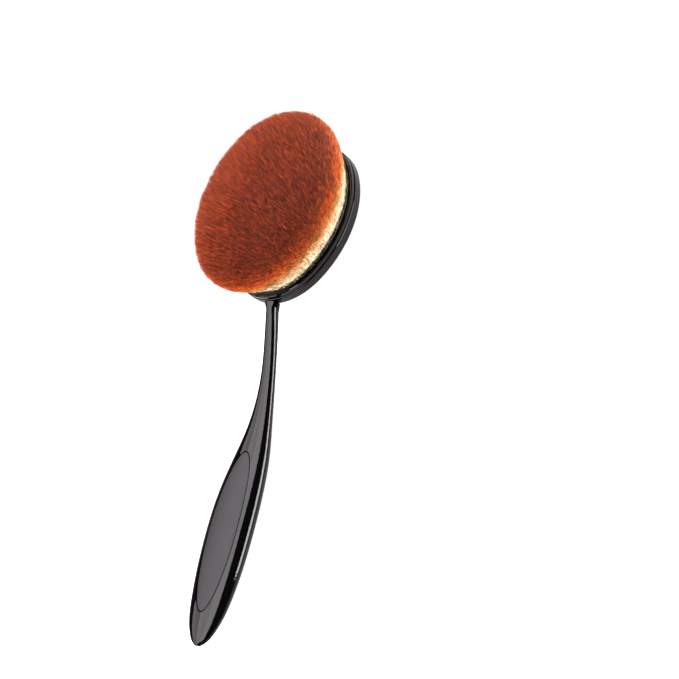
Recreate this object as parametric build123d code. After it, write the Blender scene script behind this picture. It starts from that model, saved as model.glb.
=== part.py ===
from build123d import *
from math import atan2, degrees, hypot
import os

# Oval body brush. Each piece is drawn with the brush upright: +Z runs from the
# foot of the handle to the head, -Y is the bristle side and X is across. The
# finished brush is laid on its back, bristles up, with its head towards +Y.
# Millimetres.

# ---- driving dimensions -------------------------------------------------

# Handle: (height, middle in Y, half width, half depth) of each oval section.
HANDLE_SECTIONS = [
    (0.0, -0.6, 1.3, 0.8),
    (0.5, -0.5, 2.1, 1.15),
    (1.5, -0.4, 3.5, 1.65),
    (3.5, -0.2, 5.2, 2.3),
    (7.0, 0.0, 7.1, 3.0),
    (12.0, 0.35, 8.9, 3.7),
    (19.0, 0.8, 10.3, 4.35),
    (28.0, 1.2, 11.4, 4.85),
    (38.0, 1.6, 12.0, 5.15),
    (48.0, 2.0, 12.1, 5.25),
    (59.5, 2.65, 11.6, 5.1),
    (70.5, 3.6, 10.2, 4.75),
    (80.0, 4.35, 8.35, 4.15),
    (89.0, 4.5, 6.4, 3.35),
    (99.0, 3.95, 4.75, 2.7),
    (110.0, 2.45, 3.7, 2.3),
    (121.0, 0.1, 3.3, 2.25),
    (131.0, -2.5, 3.05, 2.4),
    (140.0, -5.1, 2.85, 2.6),
]

# Grip panel: a long oval let into the front of the handle.
PANEL_MIDDLE_Z = 45.8
POCKET_HALF_LENGTH = 32.8
POCKET_HALF_WIDTH = 7.6
PANEL_GAP = 0.2
PANEL_SINK = 0.1
POCKET_CHAMFER = 0.3
PANEL_FILLET = 0.25
TAPE_THICKNESS = 0.2
TAPE_MARGIN = 0.4

# Pocket floor, straight across X: (Y, Z) points of one long arc.
FLOOR_ARC = [(-0.95, 5.0), (-0.9, 46.0), (3.65, 90.0)]

# Core under the panel, which keeps the moulded handle's walls even.
CORE_MARGIN = 2.0
CORE_BACK_WALL = 2.6
RIB_THICKNESS = 1.2
RIB_HEIGHTS = (27.0, 39.5, 52.0, 64.5)

# Head: every outline is the oval of the bristle root, drawn in or out by an
# offset, at heights (z) along the head's own forward axis.
HEAD_MIDDLE = (0.0, -6.0, 175.1)
HEAD_LEAN = 7.45
HAIR_HALF_LENGTH = 33.5
HAIR_HALF_WIDTH = 27.5
HAIR_END_R = 24.5
SHELL_OFFSET = 2.1
SHELL_WALL = 1.05
SHELL_FRONT = -2.7
SHELL_FLOOR = -5.6
SHELL_BACK = -7.2
SHELL_DOME_R = 1000.0
SHELL_LIP_FILLET = 0.45
SHELL_BACK_FILLET = 0.8
RING_OFFSET = 1.85
RING_LIP_OFFSET = 0.7
RING_STEP = -0.75
RING_CHAMFER = 0.3
RING_BACK = -2.3
RING_SKIRT_BACK = -3.05
RING_SKIRT_WALL = 0.7
RING_CLEARANCE = 0.1
RING_LIP_FILLET = 0.2
CUP_TOP_OFFSET = -0.05
CUP_BOTTOM_OFFSET = -3.4
CUP_TOP = -1.2
CUP_BOTTOM = -5.3
CUP_WALL = 0.8
CUP_FLOOR = -4.5
FILL_CLEARANCE = 0.04
POTTING_TOP = -2.9
GLUE_OFFSET = -3.8

# Bristles above the rim: they flare to a widest line, then dome over.
HAIR_LIP_GAP = 0.2
HAIR_FLARE = 6.9
HAIR_FLARE_HEIGHT = 12.5
HAIR_HEIGHT = 33.5
HAIR_DOME_R = 85.0
HAIR_SHOULDER_R = 9.0

# Joint between neck and head, in the head's own axes (x, y up, z forward).
TENON_WIDTH = 3.2
TENON_DEPTH = 1.4
TENON_Z = -5.2
TENON_TIP_Y = -32.4
SHOULDER_Y = -37.4
BOSS_WIDTH = 6.0
BOSS_DEPTH = 2.5
BOSS_INNER_Y = -31.9
SOCKET_CLEARANCE = 0.1
COLLAR_NECK = (3.15, 2.7)
COLLAR_HEAD = (4.3, 2.3)
COLLAR_NECK_Z = -6.65
COLLAR_HEAD_Z = -4.85
COLLAR_TOP_Y = -34.0
COLLAR_CLEARANCE = 0.05


def head_axes():
    """The head's plane: y runs up its length and z points out of the bristles."""
    tilted = Plane(origin=HEAD_MIDDLE, x_dir=(1, 0, 0), z_dir=(0, -1, 0))
    return tilted.rotated((-HEAD_LEAN, 0, 0))


def oval(offset):
    """Oval of two end arcs and two side arcs that meet smoothly, grown by an offset."""
    spread = HAIR_HALF_LENGTH - HAIR_END_R
    side_r = (HAIR_HALF_WIDTH**2 + spread**2 - HAIR_END_R**2) / (2 * (HAIR_HALF_WIDTH - HAIR_END_R))
    side_x = side_r - HAIR_HALF_WIDTH
    between = hypot(side_x, spread)
    end_r = HAIR_END_R + offset
    x = end_r * side_x / between
    y = spread + end_r * spread / between
    width = HAIR_HALF_WIDTH + offset
    length = HAIR_HALF_LENGTH + offset
    right = ThreePointArc((x, -y), (width, 0), (x, y))
    top = ThreePointArc((x, y), (0, length), (-x, y))
    left = ThreePointArc((-x, y), (-width, 0), (-x, -y))
    bottom = ThreePointArc((-x, -y), (0, -length), (x, -y))
    return make_face([right, top, left, bottom])


def slab(offset, low, high):
    return Pos(0, 0, low) * extrude(oval(offset), amount=high - low)


def cone(low_offset, low, high_offset, high):
    """Oval frustum whose outline changes evenly from one offset to another."""
    taper = degrees(atan2(low_offset - high_offset, high - low))
    return Pos(0, 0, low) * extrude(oval(low_offset), amount=high - low, taper=taper)


def in_head(shape):
    return head_axes().location * shape


# ---- handle -------------------------------------------------------------


def handle_blank():
    sections = []
    for height, middle_y, half_width, half_depth in HANDLE_SECTIONS:
        plane = Plane(origin=(0, middle_y, height))
        sections.append(plane * Ellipse(half_width, half_depth))
    return loft(sections)


def oval_prism(margin):
    """Pocket outline, drawn in by a margin and run through the handle from front to back."""
    outline = Ellipse(POCKET_HALF_WIDTH - margin, POCKET_HALF_LENGTH - margin)
    front = Plane(origin=(0, -20, PANEL_MIDDLE_Z), x_dir=(1, 0, 0), z_dir=(0, -1, 0))
    return extrude(front * outline, amount=-45)


def moved_back(shape, distance):
    return Pos(0, distance, 0) * shape


def behind_floor(raised):
    """All the space behind the pocket floor, or behind a surface raised above it."""
    low, middle, high = [(y - raised, z) for y, z in FLOOR_ARC]
    front = ThreePointArc(low, middle, high)
    sides = Polyline(high, (40, high[1]), (40, low[1]), low)
    face = Plane.YZ * make_face([front, sides])
    return extrude(face, amount=20, both=True)


def core_space(blank):
    """Hollow behind the panel, with ribs left standing across it."""
    space = oval_prism(CORE_MARGIN) & behind_floor(0)
    space = space & moved_back(blank, -CORE_BACK_WALL)
    for height in RIB_HEIGHTS:
        space = space - Pos(0, 0, height) * Box(40, 40, RIB_THICKNESS)
    return space - Pos(0, 0, PANEL_MIDDLE_Z) * Box(RIB_THICKNESS, 40, 100)


def neck_trim():
    """Everything above the shoulder, where the neck meets the collar."""
    return in_head(Pos(0, SHOULDER_Y + 20, 0) * Box(40, 40, 60))


def tenon(clearance):
    length = TENON_TIP_Y - SHOULDER_Y + clearance
    width = TENON_WIDTH + 2 * clearance
    depth = TENON_DEPTH + 2 * clearance
    bar = Box(width, length, depth, align=(Align.CENTER, Align.MIN, Align.CENTER))
    return in_head(Pos(0, SHOULDER_Y, TENON_Z) * bar)


def front_rim(shape, half_length):
    """The long oval edge round the front of the pocket or of the panel."""
    ovals = [e for e in shape.edges() if abs(e.bounding_box().size.Z - 2 * half_length) < 0.5]
    return min(ovals, key=lambda edge: edge.bounding_box().min.Y)


def make_handle(blank):
    body = blank - (oval_prism(0) - behind_floor(0))
    body = chamfer(front_rim(body, POCKET_HALF_LENGTH), POCKET_CHAMFER)
    body = body - neck_trim()
    body = body - core_space(blank)
    return body + tenon(0)


def make_panel(blank):
    block = oval_prism(PANEL_GAP) & moved_back(blank, PANEL_SINK)
    block = block - behind_floor(TAPE_THICKNESS)
    return fillet(front_rim(block, POCKET_HALF_LENGTH - PANEL_GAP), PANEL_FILLET)


def make_tape():
    block = oval_prism(PANEL_GAP + TAPE_MARGIN) & behind_floor(TAPE_THICKNESS)
    return block - behind_floor(0)


# ---- head ---------------------------------------------------------------


def shell_inner_offset():
    return SHELL_OFFSET - SHELL_WALL


def make_boss():
    """Block inside the shell's lower wall that takes the neck's tenon."""
    outer_y = -HAIR_HALF_LENGTH - SHELL_OFFSET + 0.75 * SHELL_WALL
    length = BOSS_INNER_Y - outer_y
    block = Box(BOSS_WIDTH, length, BOSS_DEPTH, align=(Align.CENTER, Align.MIN, Align.CENTER))
    return Pos(0, outer_y, TENON_Z) * block


def make_head_shell():
    block = slab(SHELL_OFFSET, SHELL_BACK - 1, SHELL_FRONT)
    block = block & Pos(0, 0, SHELL_BACK + SHELL_DOME_R) * Sphere(SHELL_DOME_R)
    back_edges = block.faces().sort_by(Axis.Z)[0].edges()
    block = fillet(back_edges, SHELL_BACK_FILLET)
    front_edges = block.faces().sort_by(Axis.Z)[-1].edges()
    block = fillet(front_edges, SHELL_LIP_FILLET)
    shell = block - slab(shell_inner_offset(), SHELL_FLOOR, 0)
    return in_head(shell + make_boss()) - tenon(SOCKET_CLEARANCE)


def make_trim_ring():
    """Stepped ring: a thin lip round the bristles, a wider band and a hidden skirt."""
    skirt = shell_inner_offset() - RING_CLEARANCE
    band_front = RING_STEP - RING_CHAMFER
    band = slab(RING_OFFSET, RING_BACK, band_front)
    bevel = cone(RING_OFFSET, band_front, RING_OFFSET - RING_CHAMFER, RING_STEP)
    lip = slab(RING_LIP_OFFSET, RING_STEP, 0)
    lip = fillet(lip.faces().sort_by(Axis.Z)[-1].edges(), RING_LIP_FILLET)
    ring = band + bevel + lip + slab(skirt, RING_SKIRT_BACK, RING_BACK)
    ring = ring - slab(0, CUP_TOP, 1)
    return in_head(ring - slab(skirt - RING_SKIRT_WALL, RING_SKIRT_BACK - 1, CUP_TOP))


def cup_outer(height):
    slope = (CUP_TOP_OFFSET - CUP_BOTTOM_OFFSET) / (CUP_TOP - CUP_BOTTOM)
    return CUP_BOTTOM_OFFSET + slope * (height - CUP_BOTTOM)


def cup_filling(low, high, clearance):
    """Whatever fills the cup between two heights."""
    inset = CUP_WALL + clearance
    return cone(cup_outer(low) - inset, low, cup_outer(high) - inset, high)


def make_cup():
    outside = cone(CUP_BOTTOM_OFFSET, CUP_BOTTOM, CUP_TOP_OFFSET, CUP_TOP)
    return in_head(outside - cup_filling(CUP_FLOOR, CUP_TOP, 0))


def make_potting():
    return in_head(cup_filling(CUP_FLOOR, POTTING_TOP, FILL_CLEARANCE))


def make_glue_bed():
    return in_head(slab(GLUE_OFFSET, SHELL_FLOOR, CUP_BOTTOM))


def make_bristles():
    """Outer form of the bristle mass, from the resin bed to the domed tips."""
    rooted = cup_filling(POTTING_TOP, CUP_TOP, FILL_CLEARANCE)
    lip = cup_outer(CUP_TOP) - CUP_WALL - FILL_CLEARANCE
    rooted = rooted + cone(lip, CUP_TOP, -HAIR_LIP_GAP, 0)
    flare = cone(-HAIR_LIP_GAP, 0, HAIR_FLARE, HAIR_FLARE_HEIGHT)
    crown = slab(HAIR_FLARE, HAIR_FLARE_HEIGHT, HAIR_HEIGHT + 1)
    crown = crown & Pos(0, 0, HAIR_HEIGHT - HAIR_DOME_R) * Sphere(HAIR_DOME_R)
    shoulder = crown.faces().sort_by(Axis.Z)[-1].edges()
    crown = fillet(shoulder, HAIR_SHOULDER_R)
    return in_head(rooted + flare + crown)


def make_collar():
    """Flared ferrule that hides the joint and wraps a little way onto the shell's back."""
    up_neck = Plane(origin=(0, SHOULDER_Y, COLLAR_NECK_Z), x_dir=(1, 0, 0), z_dir=(0, 1, 0))
    up_head = Plane(origin=(0, COLLAR_TOP_Y, COLLAR_HEAD_Z), x_dir=(1, 0, 0), z_dir=(0, 1, 0))
    flare = loft([up_neck * Ellipse(*COLLAR_NECK), up_head * Ellipse(*COLLAR_HEAD)])
    shell_space = slab(SHELL_OFFSET + COLLAR_CLEARANCE, SHELL_BACK - COLLAR_CLEARANCE, 30)
    return in_head(flare - shell_space) - tenon(SOCKET_CLEARANCE)


# ---- assembly -----------------------------------------------------------


def make_parts():
    blank = handle_blank()
    return {
        "handle_body": make_handle(blank),
        "grip_panel": make_panel(blank),
        "grip_panel_tape": make_tape(),
        "neck_collar": make_collar(),
        "head_shell": make_head_shell(),
        "trim_ring": make_trim_ring(),
        "bristle_cup": make_cup(),
        "cup_glue_bed": make_glue_bed(),
        "bristle_potting": make_potting(),
        "bristle_bundle": make_bristles(),
    }


def laid_down(parts):
    """Lay the brush on its back: bristles to +Z, head to +Y."""
    return {name: Rot(-90, 0, 0) * piece for name, piece in parts.items()}


def set_on_origin(parts):
    """Move every piece so that the origin is under the middle of the whole brush."""
    whole = Compound(children=[Part(piece.wrapped) for piece in parts.values()])
    box = whole.bounding_box()
    middle = (box.min + box.max) * 0.5
    shift = Pos(-middle.X, -middle.Y, -box.min.Z)
    print("shift", -middle.X, -middle.Y, -box.min.Z, "size", box.size)
    return {name: shift * piece for name, piece in parts.items()}


os.makedirs("parts", exist_ok=True)
for name, piece in set_on_origin(laid_down(make_parts())).items():
    print(name, "solids", len(piece.solids()), "volume", round(piece.volume, 1))
    export_step(piece, "parts/" + name + ".step")
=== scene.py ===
import math

import bmesh
import bpy
import numpy as np
from mathutils import Matrix, Quaternion, Vector
from mathutils.kdtree import KDTree


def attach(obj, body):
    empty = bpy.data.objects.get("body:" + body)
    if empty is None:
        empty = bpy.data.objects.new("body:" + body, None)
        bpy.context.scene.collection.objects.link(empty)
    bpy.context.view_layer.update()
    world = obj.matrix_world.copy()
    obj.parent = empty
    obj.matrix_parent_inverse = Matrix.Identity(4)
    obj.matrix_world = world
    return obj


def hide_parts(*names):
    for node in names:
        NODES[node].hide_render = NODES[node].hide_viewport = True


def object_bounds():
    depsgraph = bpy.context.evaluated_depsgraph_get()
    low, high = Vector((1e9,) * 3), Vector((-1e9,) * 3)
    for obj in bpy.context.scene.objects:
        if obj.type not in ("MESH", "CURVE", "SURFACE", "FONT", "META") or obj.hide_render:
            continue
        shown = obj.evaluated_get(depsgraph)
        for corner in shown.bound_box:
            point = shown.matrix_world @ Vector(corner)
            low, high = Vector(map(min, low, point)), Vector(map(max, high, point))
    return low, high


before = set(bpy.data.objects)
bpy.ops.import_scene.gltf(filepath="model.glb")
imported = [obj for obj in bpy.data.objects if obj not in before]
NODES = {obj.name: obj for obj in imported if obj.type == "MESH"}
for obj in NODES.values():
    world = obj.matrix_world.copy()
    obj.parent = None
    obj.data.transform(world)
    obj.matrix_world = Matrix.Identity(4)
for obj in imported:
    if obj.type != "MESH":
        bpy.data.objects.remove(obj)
CAD_BOX = [list(corner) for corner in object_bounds()]
MM = 0.001
WHITE = (1.0, 1.0, 1.0)

# ---- camera: the photograph's viewing angle -----------------------------------

CAMERA_PLACE = (0.5639, -0.1744, 0.5482)
CAMERA_TURN = (0.91822, 0.15680, 0.35886, 0.05924)
CAMERA_LENS = 106.04
CAMERA_SENSOR = 36.0
CAMERA_CLIP = (0.01, 50.0)


def add_camera():
    data = bpy.data.cameras.new("camera")
    data.lens = CAMERA_LENS
    data.sensor_width = CAMERA_SENSOR
    data.clip_start, data.clip_end = CAMERA_CLIP
    camera = bpy.data.objects.new("camera", data)
    camera.location = CAMERA_PLACE
    camera.rotation_mode = "QUATERNION"
    camera.rotation_quaternion = Quaternion(CAMERA_TURN).normalized()
    bpy.context.scene.collection.objects.link(camera)
    bpy.context.scene.camera = camera


# ---- small helpers for node materials -----------------------------------------


class Nodes:
    """A material's node tree, with short calls to add and join nodes."""

    def __init__(self, name):
        self.material = bpy.data.materials.new(name)
        self.material.use_nodes = True
        self.tree = self.material.node_tree
        self.tree.nodes.clear()
        self.output = self.tree.nodes.new("ShaderNodeOutputMaterial")
        self.shader = self.tree.nodes.new("ShaderNodeBsdfPrincipled")
        self.join(self.shader.outputs[0], self.output.inputs["Surface"])

    def join(self, source, target):
        self.tree.links.new(source, target)

    def put(self, target, value):
        if isinstance(value, bpy.types.NodeSocket):
            self.join(value, target)
        else:
            target.default_value = value

    def add(self, kind, **inputs):
        node = self.tree.nodes.new(kind)
        for name, value in inputs.items():
            self.put(node.inputs[name.replace("_", " ")], value)
        return node

    def math(self, what, a, b):
        node = self.tree.nodes.new("ShaderNodeMath")
        node.operation = what
        self.put(node.inputs[0], a)
        self.put(node.inputs[1], b)
        return node.outputs[0]

    def place(self):
        """Where the surface is in the object's own coordinates, in metres."""
        return self.tree.nodes.new("ShaderNodeTexCoord").outputs["Object"]

    def dot(self, vector, direction):
        node = self.tree.nodes.new("ShaderNodeVectorMath")
        node.operation = "DOT_PRODUCT"
        self.put(node.inputs[0], vector)
        node.inputs[1].default_value = direction
        return node.outputs["Value"]

    def noise(self, vector, scale, detail=2.0, roughness=0.5):
        node = self.add("ShaderNodeTexNoise", Vector=vector, Scale=scale)
        node.inputs["Detail"].default_value = detail
        node.inputs["Roughness"].default_value = roughness
        return node.outputs["Fac"]

    def spread(self, value, source, target):
        """The value mapped from one (low, high) range to another, and held inside it."""
        node = self.tree.nodes.new("ShaderNodeMapRange")
        self.put(node.inputs["Value"], value)
        for name, number in zip(("From Min", "From Max", "To Min", "To Max"), (*source, *target)):
            node.inputs[name].default_value = number
        return node.outputs["Result"]

    def ramp(self, value, stops):
        node = self.tree.nodes.new("ShaderNodeValToRGB")
        self.put(node.inputs["Fac"], value)
        points = node.color_ramp.elements
        while len(points) < len(stops):
            points.new(0.5)
        for point, (place, colour) in zip(points, stops):
            point.position = place
            point.color = (*colour, 1.0)
        return node.outputs["Color"]

    def mixed(self, factor, a, b, how="MIX"):
        """Two colours mixed: of a Mix node's sockets, 6, 7 and output 2 are the colours."""
        node = self.tree.nodes.new("ShaderNodeMix")
        node.data_type = "RGBA"
        node.blend_type = how
        self.put(node.inputs[0], factor)
        for socket, value in ((node.inputs[6], a), (node.inputs[7], b)):
            self.put(socket, value if isinstance(value, bpy.types.NodeSocket) else (*value, 1.0))
        return node.outputs[2]

    def bump(self, height, strength, distance):
        node = self.add("ShaderNodeBump", Height=height)
        node.inputs["Strength"].default_value = strength
        node.inputs["Distance"].default_value = distance
        self.join(node.outputs["Normal"], self.shader.inputs["Normal"])

    def set(self, **inputs):
        for name, value in inputs.items():
            self.put(self.shader.inputs[name.replace("_", " ")], value)


def set_material(node_name, material):
    data = NODES[node_name].data
    data.materials.clear()
    data.materials.append(material)


# ---- materials -----------------------------------------------------------------

NOISE_RANGE = (0.3, 0.7)  # where most of a noise's values lie
BUMP_HEIGHT = 0.1 * MM

POLISH_COLOURS = ((0.0010, 0.0009, 0.0011), (0.0022, 0.0020, 0.0024))
POLISH_RANGE = (0.4, 1.1)
POLISH_ROUGHNESS = (0.03, 0.06)
POLISH_IOR = 1.5

GRIP_COLOURS = ((0.020, 0.018, 0.020), (0.030, 0.028, 0.030))
GRIP_ROUGHNESS = (0.40, 0.52)
GRIP_SPECULAR = 0.42
GRIP_GRAIN_HEIGHT = 0.12 * MM

FILM_COLOURS = ((0.70, 0.68, 0.62), (0.80, 0.78, 0.73))
CUP_COLOURS = ((0.020, 0.020, 0.022), (0.035, 0.035, 0.038))
RESIN_COLOURS = ((0.62, 0.50, 0.33), (0.76, 0.66, 0.47))


def gloss_black():
    """Polished black moulding: faint clouding in the polish and in the colour."""
    m = Nodes("gloss_black")
    place = m.place()
    cloud = m.noise(place, scale=60.0, detail=3.0)
    fine = m.noise(place, scale=900.0)
    polish = m.math("ADD", cloud, m.math("MULTIPLY", fine, 0.4))
    m.set(Base_Color=m.mixed(cloud, *POLISH_COLOURS))
    m.set(Roughness=m.spread(polish, POLISH_RANGE, POLISH_ROUGHNESS))
    m.set(IOR=POLISH_IOR)
    m.bump(m.noise(place, scale=260.0), strength=0.02, distance=BUMP_HEIGHT)
    return m.material


def soft_touch():
    """Matt grained grip: a fine spark-eroded grain over a dark rubbery coat."""
    m = Nodes("soft_touch_black")
    place = m.place()
    grain = m.noise(place, scale=3800.0, roughness=0.6)
    cloud = m.noise(place, scale=90.0, detail=3.0)
    m.set(Base_Color=m.mixed(cloud, *GRIP_COLOURS))
    m.set(Roughness=m.spread(grain, NOISE_RANGE, GRIP_ROUGHNESS))
    m.set(Specular_IOR_Level=GRIP_SPECULAR)
    m.bump(grain, strength=0.35, distance=GRIP_GRAIN_HEIGHT)
    return m.material


def hidden_plastic(name, colours, roughness):
    """A plain inner material: a clouded colour and a light grain."""
    m = Nodes(name)
    place = m.place()
    cloud = m.noise(place, scale=140.0, detail=3.0)
    m.set(Base_Color=m.mixed(cloud, *colours))
    m.set(Roughness=m.spread(cloud, NOISE_RANGE, (roughness - 0.06, roughness + 0.06)))
    m.bump(m.noise(place, scale=1500.0), strength=0.1, distance=BUMP_HEIGHT)
    return m.material


HAIR_HEIGHT = 33.5 * MM
HAIR_TIP = (0.380, 0.062, 0.0130)
HAIR_ORANGE = (0.90, 0.20, 0.026)
HAIR_CREAM = (0.98, 0.84, 0.60)
# The dye along the bristles, from the rim (0) to the crown (1).
HAIR_DYE = [
    (0.00, HAIR_CREAM),
    (0.12, HAIR_CREAM),
    (0.23, (0.95, 0.60, 0.28)),
    (0.32, (0.93, 0.38, 0.10)),
    (0.41, HAIR_ORANGE),
    (0.50, (0.60, 0.115, 0.019)),
    (0.62, HAIR_TIP),
]
DYE_RAGGEDNESS = (-2.2 * MM, 2.2 * MM)
FIBRE_SHADES = (0.66, 3.3)  # from the many dark fibres to the few light ones
FIBRE_SHADE_POWER = 4.0
STREAK_SHADES = (0.8, 1.2)
SHADED_OVER = (0.45, 0.8)  # the part of the height where the given shade comes in
FIBRE_ROUGHNESS = (0.42, 0.58)
FIBRE_SPECULAR = 0.28
FIBRE_SHEEN = 0.03
CORE_SHADE = 0.55


def bristle(name, head, shade):
    """Two-tone fibre: cream at the root, through orange, to red-brown tips.

    The shade darkens the upper part, where the core lies in the fibres' shadow.
    """
    m = Nodes(name)
    place = m.place()
    ragged = m.noise(place, scale=420.0)
    height = m.math("SUBTRACT", m.dot(place, head.forward), head.rim_height)
    height = m.math("ADD", height, m.spread(ragged, NOISE_RANGE, DYE_RAGGEDNESS))
    along = m.math("DIVIDE", height, HAIR_HEIGHT)
    colour = m.ramp(along, HAIR_DYE)
    each = m.tree.nodes.new("ShaderNodeNewGeometry").outputs["Random Per Island"]
    streak = m.noise(place, scale=1100.0, detail=1.0)
    fibre_light = m.spread(m.math("POWER", each, FIBRE_SHADE_POWER), (0.0, 1.0), FIBRE_SHADES)
    light = m.math("MULTIPLY", fibre_light, m.spread(streak, NOISE_RANGE, STREAK_SHADES))
    light = m.math("MULTIPLY", light, m.spread(along, SHADED_OVER, (1.0, shade)))
    grey = m.tree.nodes.new("ShaderNodeCombineColor")
    for socket in grey.inputs[:3]:
        m.put(socket, light)
    m.set(Base_Color=m.mixed(1.0, colour, grey.outputs[0], "MULTIPLY"))
    m.set(Roughness=m.spread(streak, NOISE_RANGE, FIBRE_ROUGHNESS))
    m.set(Specular_IOR_Level=FIBRE_SPECULAR, Sheen_Weight=FIBRE_SHEEN)
    return m.material


# ---- the head's own axes ------------------------------------------------------


class Head:
    """The oval head's axes and sizes, read from the trim ring round the bristles."""

    LEAN = math.radians(7.45)
    RING_OFFSET = 1.85 * MM

    def __init__(self):
        points = np.array([v.co for v in NODES["trim_ring"].data.vertices])
        self.across = Vector((1.0, 0.0, 0.0))
        self.up = Vector((0.0, math.cos(self.LEAN), -math.sin(self.LEAN)))
        self.forward = Vector((0.0, math.sin(self.LEAN), math.cos(self.LEAN)))
        along = points @ np.array(self.up)
        out = points @ np.array(self.forward)
        self.rim_height = float(out.max())
        middle = float(along.max() + along.min()) / 2
        self.centre = self.up * middle + self.forward * self.rim_height
        self.half_width = float(np.ptp(points[:, 0])) / 2 - self.RING_OFFSET
        self.half_length = float(np.ptp(along)) / 2 - self.RING_OFFSET


# ---- bristles -------------------------------------------------------------------

END_R = 24.5 * MM  # radius of the oval's end arcs
# Outline of the bristle mass, in mm: (height over the rim, how far out of the root oval).
HAIR_PROFILE = [
    (-1.0, -0.2),
    (0.0, -0.2),
    (4.0, 1.9),
    (8.0, 4.3),
    (12.5, 6.45),
    (17.0, 6.9),
    (21.0, 5.2),
    (24.3, 1.9),
    (27.3, -3.4),
    (29.6, -9.3),
    (31.5, -15.5),
    (33.0, -21.5),
]
RING_STEPS = 128
CROWN_ROWS = 56
CROWN_SHARES = (0.8, 0.6, 0.4, 0.2, 0.02)  # the crown's rings, by size
CROWN_RISE = 0.55 * MM
CROWN_LEAST_R = 1.2 * MM
CORE_INSET = 2.6 * MM
INSET_FULL_AT = 12 * MM  # height over the rim where the core's top inset is complete

FIBRE_PIECES = 4
FIBRES_PER_PIECE = 19600
FIBRE_SEED = 11
FIBRE_WIDTH = 0.17 * MM
FIBRE_WIDTH_RANGE = (0.75, 1.25)
FIBRE_SIDES = 3
FIBRE_JOINT_SHARE = 0.55  # where the fibre's middle ring is, from root to tip
FIBRE_JOINT_TAPER = 0.8
FIBRE_BEND = 0.04 * MM
FIBRE_JITTER = 0.04
# Lean from the head's axis by how far the surface has turned from it, in degrees.
LEAN_TURNS = ((0, 45, 90, 119, 180), (0, 24, 47, 37, 37))
# How deep a fibre starts, by its height over the rim.
DEPTH_HEIGHTS = ((0, 2 * MM, 12 * MM), (1.2 * MM, 3.4 * MM, 5.0 * MM))
# How far a fibre's tip stands out of the outline, in mm: middle and spread.
PROUD = (0.1, 0.7)
STRAY_SHARE = 0.08
STRAY_EXTRA = (0.3, 1.4)
CLUMP_COUNT = 2600
CLUMP_PULL = 0.03
CLUMP_LENGTH = 0.06


def oval_radius(head, angle, offset):
    """Distance from the middle to the head's oval, grown by an offset, in one direction."""
    spread = head.half_length - END_R
    side_r = (head.half_width**2 + spread**2 - END_R**2) / (2 * (head.half_width - END_R))
    side_x = side_r - head.half_width
    c, s = abs(math.cos(angle)), abs(math.sin(angle))
    # End arc about (0, spread), and side arc about (-side_x, 0), which meet at the joint.
    end_r = END_R + offset
    reach = math.hypot(side_x, spread)
    joint = (end_r * side_x / reach, spread + end_r * spread / reach)
    if math.atan2(joint[1], joint[0]) > math.atan2(s, c):
        big = side_r + offset
        return -side_x * c + math.sqrt(max(big**2 - (side_x * s) ** 2, 0.0))
    return spread * s + math.sqrt(max(end_r**2 - (spread * c) ** 2, 0.0))


def smooth_profile(count):
    """Evenly spaced points on a smooth curve through the outline's points, in metres."""
    points = np.array(HAIR_PROFILE) * MM
    steps = np.r_[0, np.cumsum(np.hypot(*np.diff(points, axis=0).T))]
    want = np.linspace(0, steps[-1], count)
    out = []
    for k in range(2):
        slopes = np.gradient(points[:, k], steps)
        i = np.clip(np.searchsorted(steps, want) - 1, 0, len(steps) - 2)
        span = steps[i + 1] - steps[i]
        t = (want - steps[i]) / span
        a, b = points[i, k], points[i + 1, k]
        ma, mb = slopes[i] * span, slopes[i + 1] * span
        out.append((2 * t**3 - 3 * t**2 + 1) * a + (t**3 - 2 * t**2 + t) * ma
                   + (3 * t**2 - 2 * t**3) * b + (t**3 - t**2) * mb)
    return np.array(out).T


def crown_grid(head, inset):
    """Points of the bristle mass's outer form, in rings from the rim to the crown."""
    rings = []
    for height, offset in smooth_profile(CROWN_ROWS):
        drop = inset * min(max(height, 0.0) / INSET_FULL_AT, 1.0)
        grown = max(offset - inset, CROWN_LEAST_R - END_R)
        ring = []
        for k in range(RING_STEPS):
            angle = 2 * math.pi * k / RING_STEPS
            r = oval_radius(head, angle, grown)
            local = head.across * (r * math.cos(angle)) + head.up * (r * math.sin(angle))
            ring.append(head.centre + local + head.forward * (height - drop))
        rings.append(ring)
    return rings


def close_crown(head, rings):
    """Rings of ever smaller ovals over the top, on one shallow dome; returns its peak."""
    last = rings[-1]
    middle = sum(last, Vector()) / len(last)
    for share in CROWN_SHARES:
        lift = CROWN_RISE * (1 - share**2)
        rings.append([middle + (p - middle) * share + head.forward * lift for p in last])
    return middle + head.forward * CROWN_RISE


def link_mesh(name, data):
    thing = bpy.data.objects.new(name, data)
    bpy.context.scene.collection.objects.link(thing)
    return thing


def solid_of_rings(name, rings, top):
    """One closed solid over rings of points, with a flat base and a peak."""
    mesh = bmesh.new()
    made = [[mesh.verts.new(p) for p in ring] for ring in rings]
    for low, high in zip(made, made[1:]):
        for k in range(len(low)):
            j = (k + 1) % len(low)
            mesh.faces.new((low[k], low[j], high[j], high[k]))
    tip = mesh.verts.new(top)
    base = mesh.verts.new(sum(rings[0], Vector()) / len(rings[0]))
    for k in range(len(made[0])):
        j = (k + 1) % len(made[0])
        mesh.faces.new((made[-1][k], made[-1][j], tip))
        mesh.faces.new((made[0][j], made[0][k], base))
    for face in mesh.faces:
        face.smooth = True
    bmesh.ops.recalc_face_normals(mesh, faces=mesh.faces)
    data = bpy.data.meshes.new(name)
    mesh.to_mesh(data)
    mesh.free()
    return link_mesh(name, data)


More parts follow.
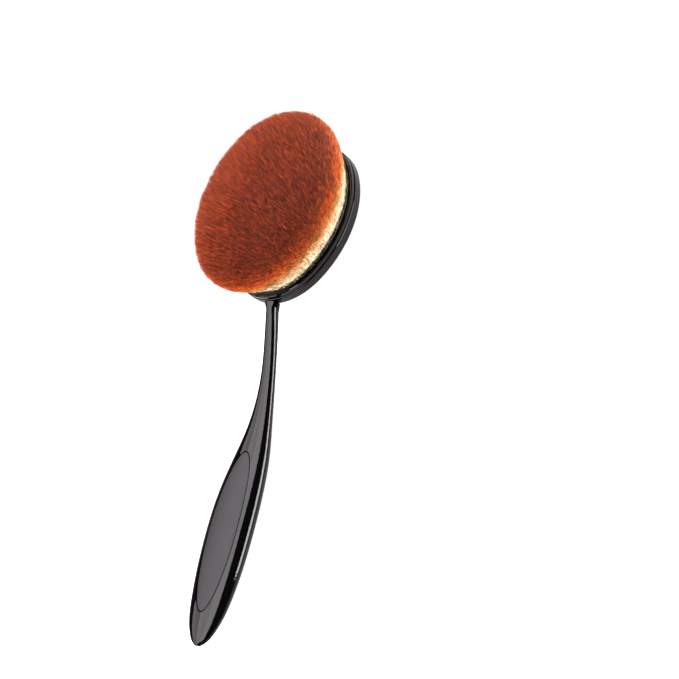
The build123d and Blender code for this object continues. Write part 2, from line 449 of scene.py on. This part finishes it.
def surface_samples(rings, count, dice):
    """Points spread evenly over the outer form, each with its surface normal."""
    grid = np.array([[tuple(p) for p in ring] for ring in rings])
    a, b = grid[:-1], grid[1:]
    nxt_a, nxt_b = np.roll(a, -1, axis=1), np.roll(b, -1, axis=1)
    normal = np.cross(nxt_a - a, b - a)
    area = np.linalg.norm(normal, axis=2)
    share = (area / area.sum()).ravel()
    pick = dice.choice(len(share), size=count, p=share)
    i, k = np.divmod(pick, grid.shape[1])
    s, t = dice.random(count)[:, None], dice.random(count)[:, None]
    low = a[i, k] * (1 - s) + nxt_a[i, k] * s
    high = b[i, k] * (1 - s) + nxt_b[i, k] * s
    unit = normal[i, k] / np.maximum(area[i, k], 1e-12)[:, None]
    return low * (1 - t) + high * t, unit


def make_clumps(rings, dice):
    """Loose tufts: seed points over the surface, with a lean and a length each."""
    points, _ = surface_samples(rings, CLUMP_COUNT, dice)
    tree = KDTree(len(points))
    for k, p in enumerate(points):
        tree.insert(p, k)
    tree.balance()
    return tree, dice.normal(0, 1, points.shape), dice.normal(0, 1, len(points))


def fibre_corners(head, rings, dice, clumps):
    """Each fibre's seven corners: a ring at its root, one near its middle, and its tip."""
    forward = np.array(head.forward)
    point, normal = surface_samples(rings, FIBRES_PER_PIECE, dice)
    cosine = normal @ forward
    sideways = normal - cosine[:, None] * forward
    sideways /= np.maximum(np.linalg.norm(sideways, axis=1), 1e-6)[:, None]
    turn = np.degrees(np.arccos(np.clip(cosine, -1, 1)))
    lean = np.radians(np.interp(turn, *LEAN_TURNS))
    along = forward * np.cos(lean)[:, None] + sideways * np.sin(lean)[:, None]
    seeds, pulls, lengths = clumps
    nearest = np.array([seeds.find(Vector(p))[1] for p in point])
    along = along + pulls[nearest] * CLUMP_PULL + dice.normal(0, FIBRE_JITTER, point.shape)
    along /= np.linalg.norm(along, axis=1)[:, None]
    proud = (lengths[nearest] * CLUMP_LENGTH + dice.normal(*PROUD, len(point))) * MM
    stray = dice.random(len(point)) < STRAY_SHARE
    proud[stray] += dice.uniform(*STRAY_EXTRA, stray.sum()) * MM
    over_rim = (point - np.array(head.centre)) @ forward
    depth = np.interp(over_rim, *DEPTH_HEIGHTS)
    tip = point + along * proud[:, None]
    root = point - along * depth[:, None]
    bend = dice.normal(0, FIBRE_BEND, point.shape)
    middle = root * (1 - FIBRE_JOINT_SHARE) + tip * FIBRE_JOINT_SHARE + bend
    side = np.cross(along, dice.normal(0, 1, point.shape))
    side /= np.linalg.norm(side, axis=1)[:, None]
    other = np.cross(along, side)
    wide = FIBRE_WIDTH / 2 * dice.uniform(*FIBRE_WIDTH_RANGE, len(point))[:, None]
    corners = np.empty((len(point), 2 * FIBRE_SIDES + 1, 3))
    for k in range(FIBRE_SIDES):
        angle = 2 * math.pi * k / FIBRE_SIDES
        ring = (side * math.cos(angle) + other * math.sin(angle)) * wide
        corners[:, k] = root + ring
        corners[:, FIBRE_SIDES + k] = middle + ring * FIBRE_JOINT_TAPER
    corners[:, -1] = tip
    return corners


def fibre_piece(name, corners):
    """One mesh of closed, tapered, three-sided fibres."""
    count = corners.shape[1]
    n = FIBRE_SIDES
    faces = [(2, 1, 0)]
    for k in range(n):
        j = (k + 1) % n
        faces += [(k, j, n + j), (k, n + j, n + k), (n + k, n + j, 2 * n)]
    index = (np.arange(len(corners)) * count)[:, None, None] + np.array(faces)[None]
    triangles = index.reshape(-1, 3)
    flat = corners.reshape(-1, 3)
    data = bpy.data.meshes.new(name)
    data.vertices.add(len(flat))
    data.vertices.foreach_set("co", flat.ravel())
    data.loops.add(triangles.size)
    data.loops.foreach_set("vertex_index", triangles.ravel().astype(np.int32))
    data.polygons.add(len(triangles))
    data.polygons.foreach_set("loop_start", np.arange(0, triangles.size, 3, dtype=np.int32))
    data.update(calc_edges=True)
    data.validate()
    data.polygons.foreach_set("use_smooth", np.ones(len(data.polygons), bool))
    return link_mesh(name, data)


def make_bristles(head):
    """A core and four pieces of fibres, which stand for the CAD's bristle solid."""
    dice = np.random.default_rng(FIBRE_SEED)
    outer = crown_grid(head, 0.0)
    close_crown(head, outer)
    inner = crown_grid(head, CORE_INSET)
    top = close_crown(head, inner)
    core = solid_of_rings("bristle_core", inner, top)
    core.data.materials.append(bristle("bristle_core_fibre", head, CORE_SHADE))
    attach(core, "root")
    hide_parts("bristle_bundle")
    clumps = make_clumps(outer, dice)
    fibre_look = bristle("bristle_fibre", head, 1.0)
    for k in range(FIBRE_PIECES):
        corners = fibre_corners(head, outer, dice, clumps)
        piece = fibre_piece(f"bristle_fibres_{k + 1}", corners)
        piece.data.materials.append(fibre_look)
        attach(piece, "root")
        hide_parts("bristle_bundle")


# ---- floor and light -----------------------------------------------------------

FLOOR_HALF = 12.0
FLOOR_COLOURS = ((0.90, 0.90, 0.90), (0.93, 0.93, 0.93))
FLOOR_ROUGHNESS = 0.9
FLOOR_SPECULAR = 0.1
FLOOR_GLOW = 0.92  # keeps the floor as pale as the background

# The room that the gloss reflects, by how far a direction points up (0 down, 1 up).
LOW_GROUND = (0.30, (0.95, 0.86, 0.84))
DARK_ROOM = (0.47, (0.014, 0.014, 0.017))

# Angles are in degrees from straight up, turned towards +X; lengths are in metres.
SOFT_TINT = (1.0, 0.94, 0.98)
SOFT_DISTANCE = 1.3
SOFT_ALONG = 0.15
SOFT_SIZE = (0.60, 2.6)
SOFT_PANELS = ((-57.0, 1.7), (-31.0, 3.2), (-5.0, 4.1))  # angle, radiance

STRIP_ANGLE = 75.0
STRIP_DISTANCE = 1.3
STRIP_WIDTH = 0.60
STRIP_RADIANCE = 11.0
STRIP_ENDS = ((0.11, 1.15), (0.02, 1.25), (-0.07, 1.35))  # low and high end along Y

WASH_DISTANCE = 1.6
# name, angle, place along Y, size, radiance
WASH_PANELS = (
    ("fill", 84.0, 0.4, (0.9, 1.8), 5.4),
    ("sky", -55.0, 0.9, (1.6, 1.6), 1.9),
)


def make_floor():
    low = min(corner[2] for corner in CAD_BOX)
    ends = ((-1, -1), (1, -1), (1, 1), (-1, 1))
    data = bpy.data.meshes.new("floor")
    data.from_pydata([(x * FLOOR_HALF, y * FLOOR_HALF, low) for x, y in ends], [], [(0, 1, 2, 3)])
    floor = link_mesh("floor", data)
    m = Nodes("floor_pale")
    cloud = m.noise(m.place(), scale=3.0)
    m.set(Base_Color=m.mixed(cloud, *FLOOR_COLOURS), Roughness=FLOOR_ROUGHNESS)
    m.set(Emission_Color=(*WHITE, 1.0), Emission_Strength=FLOOR_GLOW)
    m.set(Specular_IOR_Level=FLOOR_SPECULAR)
    data.materials.append(m.material)
    floor.visible_glossy = False


def panel_light(name, angle, distance, along, size, radiance, colour=WHITE):
    """A soft panel that faces the brush's length, with its second side along it.

    Its brightness is given as radiance, not as power.
    """
    data = bpy.data.lights.new(name, "AREA")
    data.shape = "RECTANGLE"
    data.size, data.size_y = size
    data.energy = radiance * math.pi * size[0] * size[1]
    data.color = colour
    lamp = bpy.data.objects.new(name, data)
    turn = math.radians(angle)
    lamp.location = (distance * math.sin(turn), along, distance * math.cos(turn))
    away = Vector((lamp.location.x, 0.0, lamp.location.z)).normalized()
    length = Vector((0.0, 1.0, 0.0))
    axes = Matrix((length.cross(away), length, away)).transposed()
    lamp.rotation_mode = "QUATERNION"
    lamp.rotation_quaternion = axes.to_quaternion()
    lamp.visible_camera = False
    bpy.context.scene.collection.objects.link(lamp)
    return lamp


def make_world():
    """White behind the scene, and for reflections a dark room over a pale ground."""
    world = bpy.data.worlds.new("studio")
    bpy.context.scene.world = world
    world.use_nodes = True
    tree = world.node_tree
    tree.nodes.clear()
    output = tree.nodes.new("ShaderNodeOutputWorld")
    mix = tree.nodes.new("ShaderNodeMixShader")
    pale = tree.nodes.new("ShaderNodeBackground")
    pale.inputs["Color"].default_value = (*WHITE, 1.0)
    room = tree.nodes.new("ShaderNodeBackground")
    way = tree.nodes.new("ShaderNodeTexCoord")
    split = tree.nodes.new("ShaderNodeSeparateXYZ")
    ramp = tree.nodes.new("ShaderNodeValToRGB")
    rise = tree.nodes.new("ShaderNodeMath")
    rise.operation = "MULTIPLY_ADD"
    rise.inputs[1].default_value = 0.5
    rise.inputs[2].default_value = 0.5
    for stop, (place, colour) in zip(ramp.color_ramp.elements, (LOW_GROUND, DARK_ROOM)):
        stop.position, stop.color = place, (*colour, 1.0)
    path = tree.nodes.new("ShaderNodeLightPath")
    for source, target in (
        (way.outputs["Generated"], split.inputs[0]),
        (split.outputs["Z"], rise.inputs[0]),
        (rise.outputs[0], ramp.inputs[0]),
        (ramp.outputs["Color"], room.inputs["Color"]),
        (path.outputs["Is Camera Ray"], mix.inputs[0]),
        (room.outputs[0], mix.inputs[1]),
        (pale.outputs[0], mix.inputs[2]),
        (mix.outputs[0], output.inputs[0]),
    ):
        tree.links.new(source, target)
    for background in (pale, room):
        background.inputs["Strength"].default_value = 1.0


def light_the_scene():
    make_world()
    # Three overlapping panels make one big soft light, from low on the left to nearly overhead.
    for k, (angle, radiance) in enumerate(SOFT_PANELS):
        place = (angle, SOFT_DISTANCE, SOFT_ALONG)
        panel_light(f"soft_{k + 1}", *place, SOFT_SIZE, radiance, SOFT_TINT)
    # Three strips of unequal length give the highlight on the handle's right side soft ends.
    for k, (low, high) in enumerate(STRIP_ENDS):
        place = (STRIP_ANGLE, STRIP_DISTANCE, (low + high) / 2)
        size = (STRIP_WIDTH, high - low)
        strip = panel_light(f"strip_{k + 1}", *place, size, STRIP_RADIANCE)
        strip.visible_diffuse = False
    # These two light the bristles, and don't show in the gloss.
    for name, angle, along, size, radiance in WASH_PANELS:
        wash = panel_light(name, angle, WASH_DISTANCE, along, size, radiance)
        wash.visible_glossy = False


# ---- build ---------------------------------------------------------------------

add_camera()
make_floor()
light_the_scene()

polished = gloss_black()
for name in ("handle_body", "neck_collar", "head_shell", "trim_ring"):
    set_material(name, polished)
set_material("grip_panel", soft_touch())
film = hidden_plastic("adhesive_film", FILM_COLOURS, roughness=0.45)
set_material("grip_panel_tape", film)
set_material("cup_glue_bed", film)
set_material("bristle_cup", hidden_plastic("cup_black", CUP_COLOURS, roughness=0.4))
set_material("bristle_potting", hidden_plastic("potting_resin", RESIN_COLOURS, roughness=0.25))

make_bristles(Head())

view = bpy.context.scene.view_settings
view.view_transform = "Standard"
view.look = "None"
